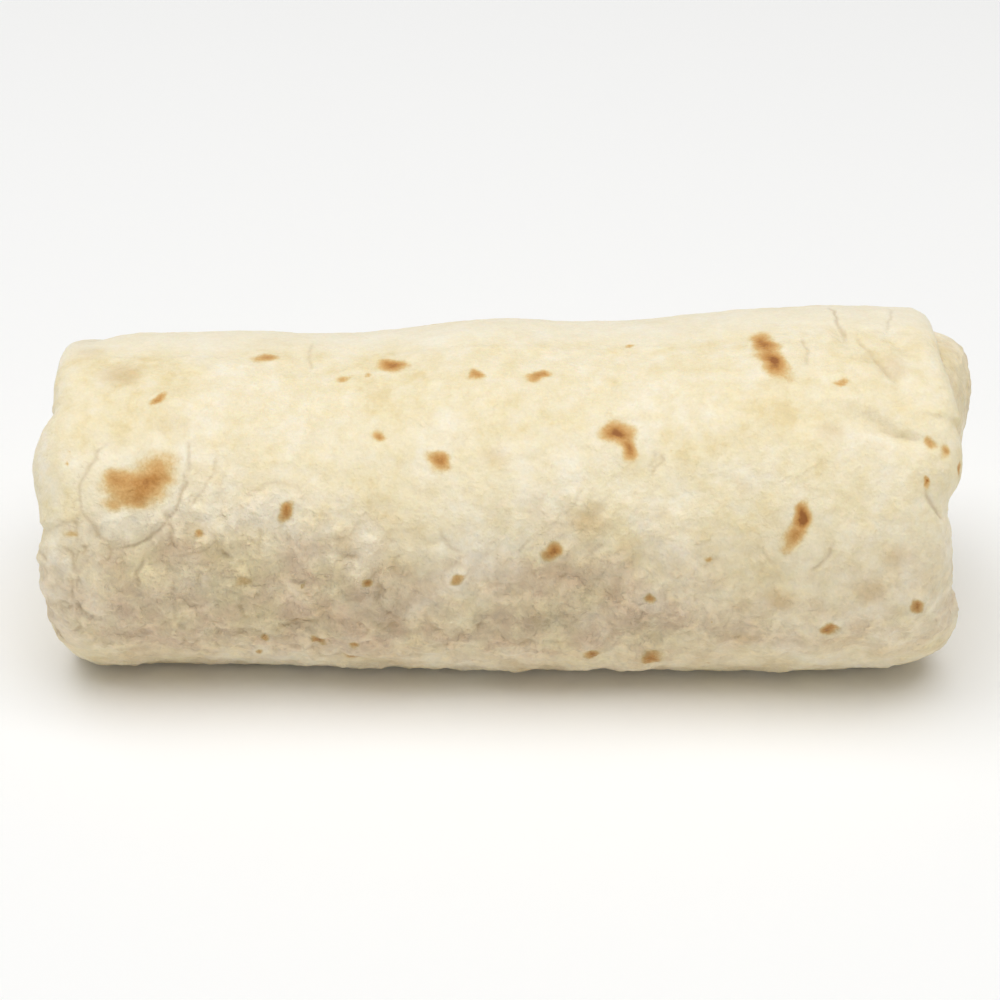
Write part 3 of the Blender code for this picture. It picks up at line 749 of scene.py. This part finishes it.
def new_object(name, data):
    """An object with this data, in the scene."""
    thing = bpy.data.objects.new(name, data)
    bpy.context.scene.collection.objects.link(thing)
    return thing


def stacked(rows):
    """Rows of (x, y, z, angle) as one array of rows, columns and values."""
    return np.array([np.stack(np.broadcast_arrays(*row), axis=-1) for row in rows])


def make_skin():
    """The wrap and the two tucked-in sheets, with the marks that the node trees read."""
    wrap = stacked(wrap_rows(Columns(with_flap=True)))
    ring = Columns(with_flap=False)
    tucks = {side: stacked(tuck_rows(side, ring)) for side in SIDES}
    solid = np.concatenate([grid[..., :3].reshape(-1, 3) for grid in (wrap, *tucks.values())])
    middle = (solid.min(axis=0) + solid.max(axis=0)) / 2 * (1, 1, 0)
    steps = np.linalg.norm(np.diff(wrap[..., :3], axis=0), axis=-1)
    along = np.concatenate([np.zeros((1, wrap.shape[1])), np.cumsum(steps, axis=0)])
    centre = wrap.shape[0] // 2
    along = along - along[centre] + wrap[centre, 0, 0] - middle[0]
    skin = Skin(wrap[..., 0] - middle[0], along, wrap[..., 3])
    pieces = [grid_mesh("tortilla_wrap", (wrap[..., :3] - middle) * MM, skin.marks(), ringed=False)]
    for side, grid in tucks.items():
        name, points = f"tucked_end_{SIDES[side]}", (grid[..., :3] - middle) * MM
        pieces.append(grid_mesh(name, points, tuck_marks(side, *np.moveaxis(grid, -1, 0)), ringed=True))
    return pieces


# ---- Nodes ----

MATH, VECTOR, RANGE = "ShaderNodeMath", "ShaderNodeVectorMath", "ShaderNodeMapRange"
NOISE, RAMP = "ShaderNodeTexNoise", "ShaderNodeValToRGB"


def linear(colour):
    """An sRGB hex colour as linear RGBA."""
    shares = [int(colour[start : start + 2], 16) / 255 for start in (1, 3, 5)]
    return (*[s / 12.92 if s <= 0.04045 else ((s + 0.055) / 1.055) ** 2.4 for s in shares], 1.0)


def add(tree, kind, inputs=(), take=None, stops=(), **settings):
    """Adds a node with its settings, ramp stops and inputs, which are given by their identifiers
    or in order, and gives the output to take from it."""
    node = tree.nodes.new(kind)
    for name, value in settings.items():
        setattr(node, name, value)
    for index, (place, colour) in enumerate(stops):
        elements = node.color_ramp.elements
        element = elements[index] if index < 2 else elements.new(place)
        element.position, element.color = place, linear(colour)
    sockets = {socket.identifier: socket for socket in node.inputs}
    if not isinstance(inputs, dict):
        inputs = dict(zip(sockets, inputs))
    for name, value in inputs.items():
        if isinstance(value, bpy.types.NodeSocket):
            tree.links.new(value, sockets[name])
        else:
            sockets[name].default_value = value
    outputs = [socket for socket in node.outputs if socket.enabled]
    return next((socket for socket in outputs if take in (None, socket.name)), None)


def emptied(owner):
    """The node tree of a material or a world, emptied."""
    owner.use_nodes = True
    owner.node_tree.nodes.clear()
    return owner.node_tree


RELIEF_SIZES = {
    "Swell Height": 0.45 * MM,  # slow unevenness of the filling
    "Swell Size": 17 * MM,
    "Dimple Height": 0.2 * MM,  # the dough's own lumps and dimples
    "Dimple Size": 5 * MM,
    "Crumple Height": 3.0 * MM,  # the loose sheet, puckered round beans and rice
    "Crumple Size": 6.5 * MM,
    "Crumple Roughness": 0.62,
    "Crumple Distortion": 0.6,
    "Grain Height": 0.11 * MM,  # coarsest part of the dough's grain, as fine as the mesh shows
    "Grain Size": 1.5 * MM,
    "Pressed Height": 3.0 * MM,  # height over the table below which the skin is pressed smooth
    "Seed": 4.0,
}


def dough_relief():
    """A node tree that raises the marks and the dough's uneven skin along a surface's normals."""
    tree = bpy.data.node_groups.new("dough_relief", "GeometryNodeTree")
    kinds = {"Skin": "NodeSocketGeometry", "Dough": "NodeSocketMaterial"}
    for name in (*kinds, *RELIEF_SIZES):
        tree.interface.new_socket(name, in_out="INPUT", socket_type=kinds.get(name, "NodeSocketFloat"))
    tree.interface.new_socket("Skin", in_out="OUTPUT", socket_type="NodeSocketGeometry")
    given = tree.nodes.new("NodeGroupInput").outputs
    place = add(tree, "GeometryNodeInputPosition")
    height, loose_and_shaded, held = (
        add(tree, "GeometryNodeInputNamedAttribute", {"Name": name}, data_type="FLOAT")
        for name in ("relief", "loose_and_shaded", "held")
    )
    for kind, detail in (("Swell", 1.0), ("Dimple", 2.0), ("Grain", 2.0), ("Crumple", 3.0)):
        pitch = add(tree, MATH, (1.0, given[kind + " Size"]), operation="DIVIDE")
        pattern = {"Vector": place, "W": given["Seed"], "Scale": pitch, "Detail": detail}
        if kind == "Crumple":
            pattern |= {name: given["Crumple " + name] for name in ("Roughness", "Distortion")}
        swing = add(tree, NOISE, pattern, noise_dimensions="4D")
        swing = add(tree, RANGE, (swing, 0.0, 1.0, -1.0, 1.0))
        if kind == "Crumple":
            swing = add(tree, MATH, (swing, loose_and_shaded), operation="MULTIPLY")
        height = add(tree, MATH, (swing, given[kind + " Height"], height), operation="MULTIPLY_ADD")
    level = add(tree, "ShaderNodeSeparateXYZ", (place,), take="Z")
    free = add(tree, RANGE, (level, 0.0, given["Pressed Height"]), interpolation_type="SMOOTHSTEP")
    moving = add(tree, MATH, (1.0, held), operation="SUBTRACT")
    for share in (free, moving):
        height = add(tree, MATH, (height, share), operation="MULTIPLY")
    normal = add(tree, "GeometryNodeInputNormal")
    offset = add(tree, VECTOR, {"Vector": normal, "Scale": height}, operation="SCALE")
    skin = add(tree, "GeometryNodeSetPosition", {"Geometry": given["Skin"], "Offset": offset})
    skin = add(tree, "GeometryNodeRealizeInstances", (skin,))
    skin = add(tree, "GeometryNodeSetMaterial", {"Geometry": skin, "Material": given["Dough"]})
    add(tree, "NodeGroupOutput", (skin,))
    return tree


def raise_relief(pieces, tree, dough):
    """Runs the tree on each piece and keeps its result as a plain mesh."""
    values = {**RELIEF_SIZES, "Dough": dough}
    for piece in pieces:
        modifier = piece.modifiers.new("dough_relief", "NODES")
        modifier.node_group = tree
        for item in tree.interface.items_tree:
            if item.in_out == "INPUT" and item.name in values:
                modifier[item.identifier] = values[item.name]
    depsgraph = bpy.context.evaluated_depsgraph_get()
    for piece in pieces:
        finished = bpy.data.meshes.new_from_object(piece.evaluated_get(depsgraph))
        piece.modifiers.clear()
        rough, piece.data = piece.data, finished
        bpy.data.meshes.remove(rough)
        finished.name = piece.name


def fit_in_box(pieces, low, high):
    """Stretches all pieces together, by a hair, so that they fill the solid's box and no more."""
    places = []
    for piece in pieces:
        flat = np.empty(len(piece.data.vertices) * 3)
        piece.data.vertices.foreach_get("co", flat)
        places.append(flat.reshape(-1, 3))
    everything = np.concatenate(places)
    from_low, from_high = everything.min(axis=0), everything.max(axis=0)
    scale = (np.array(high) - np.array(low)) / (from_high - from_low)
    for piece, points in zip(pieces, places):
        piece.data.vertices.foreach_set("co", ((points - from_low) * scale + np.array(low)).reshape(-1))
        piece.data.update()


# Cloudy patterns in the dough: size in millimetres, detail, roughness.
DOUGH_NOISES = {
    "clouds": (15, 3.0, 0.6),  # uneven thickness from the rolling pin
    "blush": (9, 2.0, 0.6),  # thin skin, warmer or greyer with what lies beneath
    "mottle": (4.6, 4.0, 0.65),  # bubbles in the dough, pressed flat on the griddle
    "crumple": (3.2, 4.0, 0.54),  # the loose sheet drawn in between grains of rice, 6 by 2 mm
    "speck": (1.3, 2.0, 0.6),  # pinhead bubbles
    "grain": (0.55, 2.0, 0.6),  # flour, really under 0.2 mm but drawn as coarse as it shows
}
MOTTLE_SHARE, SPECK_SHARE = 0.9, 0.25  # beside the clouds in the dough's colour
CLOUDY_RANGE = (0.8, 1.35)  # sums of the three between which the dough runs from pale to buff
DOUGH_TONES = ((0.0, "#F7EED7"), (0.35, "#F4E8C9"), (0.7, "#F1E3BC"), (1.0, "#EBD9A9"))
# The loose sheet's tones: a damp, pinker sheet, and painted shade on the lower front.
LOOSE_AND_SHADED_TONES = ((0.34, "#E3D1A7"), (0.6, "#D6BA9D"))
TOAST_TONES = (
    (0.0, "#F2E6C0"), (0.24, "#EFDDAC"), (0.42, "#E8C98F"), (0.56, "#DDB070"), (0.73, "#CA924D"),
    (0.9, "#9F642D"),
)
# Toast where the sheet is loose, low on the front: duller, and darker with painted shade.
DULL_SHADED_TOAST = "#755528"
# Tones of the marks, in the order in which they lie on the dough. Pale also takes the painted sheen
# behind the crown, damp the dents' painted shade, and crinkle and fold are painted shade in creases.
MARK_TONES = {
    "pale": "#F6EED9", "tint": "#CFB282", "damp_and_shaded": "#A8977B", "shaded_crinkle": "#97826A", "fold": "#B3976A",
}
PATCH_CLOUDS = 0.6  # share of the clouds, beside the mottling, in what breaks the patchy marks up
# How the patchy marks show: (name, strengths at which they start and are full, share of the colour
# that they take then, how far they are broken up).
PATCHY_MARKS = (
    ("loose_and_shaded", 0.2, 1.05, 0.74, 1.0), ("pale", 0.1, 1.0, 0.7, 0.3), ("tint", 0.1, 0.9, 0.6, 0.7),
    ("damp_and_shaded", 0.1, 1.1, 0.42, 0.9),
)
CRINKLE_WIDTH, CRINKLE_SHADE = 0.19, 0.22  # share of the crumple's swing in a crinkle, and how much painted shade darkens it
CRINKLED_RANGE = (0.42, 0.6)  # values of the mottling between which crinkles set in
FOLD_WIDTH = 0.42  # millimetres, half across
FOLD_PAINTED_SHADE = 1.2  # how much painted shade along a fold a millimetre of its depth gives
TOAST_REACH = 1.8  # where a patch's tones end, in its own half lengths
TOAST_EDGE = (0.9, 1.62)  # between which it fades out
TOAST_STIR = 0.16  # how far the specks and the grain stir that edge
STIR_GRAIN, STIR_RANGE = 0.5, (0.4, 1.1)  # share of the grain in their sum, and its range
TOAST_DULLING_AND_SHADE = 0.4  # how much duller toast is where the sheet is loose, and darker with painted shade
FLOUR_RANGE, FLOUR_TONES = (0.3, 0.7), (0.97, 1.03)  # the grain's range, and the shade it gives
KNOB_LIGHT_AND_SHADE, KNOB_SPECKS = 0.72, 0.4  # how much painted light the loose sheet's knobs get over the painted shade of its hollows
ROUGHNESS = (0.66, 0.5)  # dry and damp
DOUGH_LOOKS = {
    "IOR": 1.45, "Specular IOR Level": 0.35, "Sheen Weight": 0.12, "Sheen Roughness": 0.5,
    "Subsurface Weight": 0.14, "Subsurface Radius": (1.0, 0.6, 0.32), "Subsurface Scale": 1.8 * MM,
}
GRAIN_BUMP, SPECK_BUMP, LOOSE_SPECK_BUMP = 0.07 * MM, 0.17 * MM, 0.3 * MM
CRUMPLE_BUMP, CRINKLE_BUMP, FOLD_BUMP = 2.0 * MM, -0.12 * MM, -0.18 * MM


def griddled_flour_tortilla():
    """Wheat-flour dough, rolled thin and baked on a dry griddle: matt and floury, slightly see-through
    where it is damp, browned only where blisters touched the iron."""
    material = bpy.data.materials.new("griddled_flour_tortilla")
    tree = emptied(material)
    place = add(tree, "ShaderNodeTexCoord", take="Object")
    marks = {
        name: add(tree, "ShaderNodeAttribute", take="Fac", attribute_name=name)
        for name in ("unbrowned", "pale", "fold", "fold_depth", "damp_and_shaded", "tint", "loose_and_shaded")
    }
    loose_and_shaded = marks["loose_and_shaded"]
    clouds, blush, mottle, crumple, speck, grain = (
        add(tree, NOISE, {"Vector": place, "Scale": 1 / (size * MM), "Detail": detail, "Roughness": rough})
        for size, detail, rough in DOUGH_NOISES.values()
    )
    cloudy = clouds
    for noise, share in ((mottle, MOTTLE_SHARE), (speck, SPECK_SHARE)):
        cloudy = add(tree, MATH, (noise, share, cloudy), operation="MULTIPLY_ADD")
    cloudy = add(tree, RANGE, (cloudy, *CLOUDY_RANGE))
    colour = add(tree, RAMP, (cloudy,), stops=DOUGH_TONES)

    # Marks on the dough, broken up by its own mottling.
    patches = add(tree, MATH, (clouds, PATCH_CLOUDS, mottle), operation="MULTIPLY_ADD")
    patches = add(tree, MATH, (patches, (1 + PATCH_CLOUDS) / 2), operation="SUBTRACT")
    strength = {}
    for name, low, high, share, weight in PATCHY_MARKS:
        broken = add(tree, MATH, (patches, marks[name]), operation="MULTIPLY")
        broken = add(tree, MATH, (broken, weight, marks[name]), operation="MULTIPLY_ADD")
        strength[name] = add(tree, RANGE, (broken, low, high, 0.0, share))

    # Crinkles run where the crumpling passes through its middle, and only in some places; they get painted
    # shade.
    apart = add(tree, RANGE, (crumple, 0.0, 1.0, -1.0, 1.0))
    apart = add(tree, MATH, (apart,), operation="ABSOLUTE")
    shaded_crinkle = add(tree, RANGE, (apart, 0.0, CRINKLE_WIDTH, 1.0, 0.0), interpolation_type="SMOOTHSTEP")
    some = add(tree, RANGE, (mottle, *CRINKLED_RANGE), interpolation_type="SMOOTHSTEP")
    for share in (some, loose_and_shaded):
        shaded_crinkle = add(tree, MATH, (shaded_crinkle, share), operation="MULTIPLY")
    strength["shaded_crinkle"] = add(tree, MATH, (shaded_crinkle, CRINKLE_SHADE), operation="MULTIPLY")

    # A fold gets painted shade, darkest along its line.
    across = add(tree, MATH, (marks["fold"], 1 / FOLD_WIDTH), operation="MULTIPLY")
    for other in (across, -1.0):
        across = add(tree, MATH, (across, other), operation="MULTIPLY")
    fold = add(tree, MATH, (math.e, across), operation="POWER")
    fold = add(tree, MATH, (fold, marks["fold_depth"]), operation="MULTIPLY")
    fold = add(tree, MATH, (fold, FOLD_PAINTED_SHADE), operation="MULTIPLY", use_clamp=True)
    strength["fold"] = fold

    # Toast, from straw at a patch's edge to brown in its middle.
    stir = add(tree, MATH, (grain, STIR_GRAIN, speck), operation="MULTIPLY_ADD")
    stir = add(tree, RANGE, (stir, *STIR_RANGE, -TOAST_STIR, TOAST_STIR))
    unbrowned = add(tree, MATH, (marks["unbrowned"], stir))
    unbrowned = add(tree, MATH, (unbrowned, 0.0), operation="MAXIMUM")
    browning = add(tree, RANGE, (unbrowned, 0.0, TOAST_REACH, 1.0, 0.0))
    browned = add(tree, RAMP, (browning,), stops=TOAST_TONES)
    shown = add(tree, RANGE, (unbrowned, *TOAST_EDGE, 1.0, 0.0), interpolation_type="SMOOTHSTEP")
    dulled_and_shaded = add(tree, MATH, (shown, loose_and_shaded), operation="MULTIPLY")
    dulled_and_shaded = add(tree, MATH, (dulled_and_shaded, TOAST_DULLING_AND_SHADE), operation="MULTIPLY")

    # The loose sheet low on the front: its darker tone is partly painted shade.
    layers = [(strength["loose_and_shaded"], add(tree, RAMP, (blush,), stops=LOOSE_AND_SHADED_TONES))]
    layers += [(strength[name], linear(tone)) for name, tone in MARK_TONES.items()]
    layers += [(shown, browned), (dulled_and_shaded, linear(DULL_SHADED_TOAST))]
    for share, tone in layers:
        mix = {"Factor_Float": share, "A_Color": colour, "B_Color": tone}
        colour = add(tree, "ShaderNodeMix", mix, data_type="RGBA")

    # Loose flour lightens the skin, and painted light and shade lie on the loose sheet's knobs and hollows.
    flour_and_knob_shading = add(tree, RANGE, (grain, *FLOUR_RANGE, *FLOUR_TONES))
    knob_light_and_shade = add(tree, MATH, (speck, KNOB_SPECKS, crumple), operation="MULTIPLY_ADD")
    knob_light_and_shade = add(tree, MATH, (knob_light_and_shade, (1 + KNOB_SPECKS) / 2), operation="SUBTRACT")
    knob_light_and_shade = add(tree, MATH, (knob_light_and_shade, loose_and_shaded), operation="MULTIPLY")
    flour_and_knob_shading = add(tree, MATH, (knob_light_and_shade, KNOB_LIGHT_AND_SHADE, flour_and_knob_shading), operation="MULTIPLY_ADD")
    colour = add(tree, VECTOR, {"Vector": colour, "Scale": flour_and_knob_shading}, operation="SCALE")

    roughness = add(tree, RANGE, (marks["damp_and_shaded"], 0.0, 1.0, *ROUGHNESS))
    loose_speck, loose_crumple = (
        add(tree, MATH, (noise, loose_and_shaded), operation="MULTIPLY") for noise in (speck, crumple)
    )
    height = 0.0
    for swing, bump in (
        (grain, GRAIN_BUMP), (speck, SPECK_BUMP), (loose_speck, LOOSE_SPECK_BUMP),
        (loose_crumple, CRUMPLE_BUMP), (shaded_crinkle, CRINKLE_BUMP), (fold, FOLD_BUMP),
    ):
        height = add(tree, MATH, (swing, bump, height), operation="MULTIPLY_ADD")
    bumps = add(tree, "ShaderNodeBump", {"Height": height, "Strength": 1.0, "Distance": 1.0})
    dough = {"Base Color": colour, "Roughness": roughness, "Normal": bumps, **DOUGH_LOOKS}
    shader = add(tree, "ShaderNodeBsdfPrincipled", dough, subsurface_method="RANDOM_WALK")
    add(tree, "ShaderNodeOutputMaterial", (shader,))
    return material


# ---- Table, light and camera ----

TABLE_LOOKS = {"Base Color": linear("#FCFCFB"), "Roughness": 0.7, "Specular IOR Level": 0.2}
TABLE_HALF = 6.0
TABLE_GAP = 0.05 * MM  # the table stands this far below the roll, so that no face lies in another
SOFTBOX_PLACE, SOFTBOX_SIZE, SOFTBOX_WATTS = (-0.05, -0.14, 1.5), (2.0, 1.4), 24.8
ROOM_TONES = ((0.1, "#F8F8F7"), (0.35, "#767676"))  # up the walls and the ceiling, by their rise's sine
CAMERA_LENS, CAMERA_SENSOR, CAMERA_NEAR = 100.0, 36.0, 0.01
CAMERA_DISTANCE, CAMERA_RISE, CAMERA_SHIFT = 0.528, 30.0, (-0.0082, -0.0233)


def matt_table():
    """White laminate table top, pressed flat: even and matt, so that only the roll's shadow shows."""
    material = bpy.data.materials.new("matt_white_laminate")
    tree = emptied(material)
    add(tree, "ShaderNodeOutputMaterial", (add(tree, "ShaderNodeBsdfPrincipled", TABLE_LOOKS),))
    return material


def make_table():
    mesh = bmesh.new()
    bmesh.ops.create_grid(mesh, x_segments=1, y_segments=1, size=TABLE_HALF)
    bmesh.ops.translate(mesh, verts=mesh.verts, vec=(0, 0, -TABLE_GAP))
    data = bpy.data.meshes.new("table_top")
    mesh.to_mesh(data)
    mesh.free()
    data.materials.append(matt_table())
    table = new_object("table_top", data)


def aim(thing, place, target):
    """Puts a camera or a light at a place and turns it to a target."""
    thing.location = place
    thing.rotation_euler = (Vector(target) - Vector(place)).to_track_quat("-Z", "Y").to_euler()


def light_stage(target):
    """One softbox overhead, in a room with pale walls and a darker ceiling."""
    data = bpy.data.lights.new("overhead_softbox", "AREA")
    data.shape = "RECTANGLE"
    data.size, data.size_y = SOFTBOX_SIZE
    data.energy = SOFTBOX_WATTS
    aim(new_object("overhead_softbox", data), SOFTBOX_PLACE, target)
    world = bpy.data.worlds.new("white_room")
    tree = emptied(world)
    heading = add(tree, "ShaderNodeTexCoord", take="Generated")
    level = add(tree, "ShaderNodeSeparateXYZ", (heading,), take="Z")
    light = add(tree, "ShaderNodeBackground", (add(tree, RAMP, (level,), stops=ROOM_TONES), 1.0))
    add(tree, "ShaderNodeOutputWorld", (light,))
    bpy.context.scene.world = world


def set_camera(target):
    data = bpy.data.cameras.new("camera")
    data.lens, data.sensor_width, data.sensor_fit = CAMERA_LENS, CAMERA_SENSOR, "HORIZONTAL"
    data.shift_x, data.shift_y = CAMERA_SHIFT
    data.clip_start = CAMERA_NEAR
    camera = new_object("camera", data)
    rise = math.radians(CAMERA_RISE)
    away = Vector((0, -math.cos(rise), math.sin(rise))) * CAMERA_DISTANCE
    aim(camera, Vector(target) + away, target)
    bpy.context.scene.camera = camera


def main():
    low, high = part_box("tortilla")
    pieces = make_skin()
    raise_relief(pieces, dough_relief(), griddled_flour_tortilla())
    fit_in_box(pieces, low, high)
    for piece in pieces:
        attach(piece, "root")
        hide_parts("tortilla")
    middle = [(a + b) / 2 for a, b in zip(low, high)]
    make_table()
    light_stage(middle)
    set_camera(middle)
    bpy.context.scene.view_settings.view_transform = "Standard"


main()
